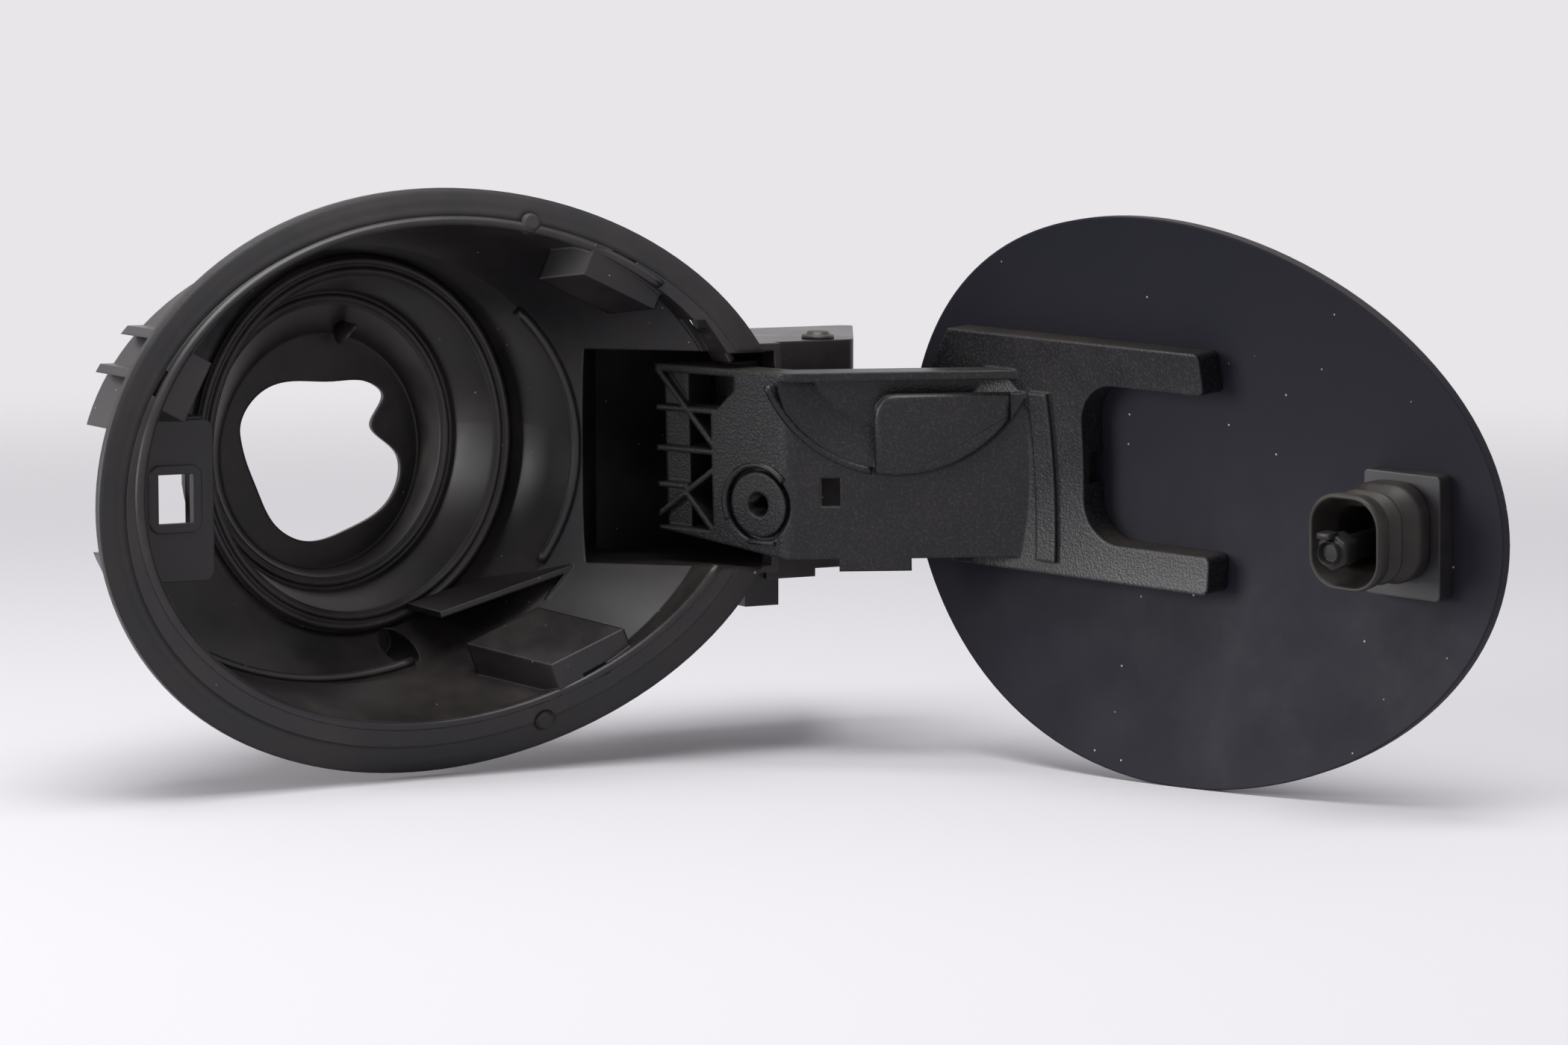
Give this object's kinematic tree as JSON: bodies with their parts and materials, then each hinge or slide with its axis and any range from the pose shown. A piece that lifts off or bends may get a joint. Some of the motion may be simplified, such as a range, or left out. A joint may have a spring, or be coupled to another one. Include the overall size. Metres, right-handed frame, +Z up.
{
  "type": "fuel filler flap and housing",
  "caption": "Oval car fuel filler flap, swung open on a gooseneck hinge arm from its moulded pot with a soft neck boot, latch window and a bellows-covered latch hook.",
  "frame": {"origin": "middle of the flange's oval, on its outer face, where the car's body panel lies", "axes": "+Y into the car along the pot, +Z up, +X towards the hinge"},
  "size_m": [0.3159, 0.2774, 0.1607],
  "materials": {
    "pot_plastic": "satin moulded black",
    "rim_rubber": "smooth soft black",
    "boot_rubber": "dull black with dust",
    "plate_plastic": "matte black",
    "bumper_rubber": "matte black",
    "pin_steel": "black coated",
    "spring_steel": "bare spring steel",
    "flap_plastic": "matte blue-black",
    "arm_plastic": "fine grained black",
    "bellows_rubber": "dull brownish black",
    "hook_plastic": "matte black"
  },
  "bodies": {
    "housing": {"filler_pot": "pot_plastic", "rim_seal": "rim_rubber", "neck_boot": "boot_rubber", "latch_plate": "plate_plastic", "upper_bumper": "bumper_rubber", "lower_bumper": "bumper_rubber", "hinge_pin": "pin_steel", "detent_spring": "spring_steel"},
    "flap": {"flap_panel": "flap_plastic", "hinge_arm": "arm_plastic", "latch_base": "plate_plastic", "latch_boot": "bellows_rubber", "latch_hook": "hook_plastic"}
  },
  "joints": [
    {"name": "flap_hinge", "type": "hinge", "parent": "housing", "child": "flap", "pos_m": [0.1194, 0.0172, 0], "axis": [-0.0077, -0.0504, 0.9987], "range_deg": [-109.5, 0]}
  ]
}
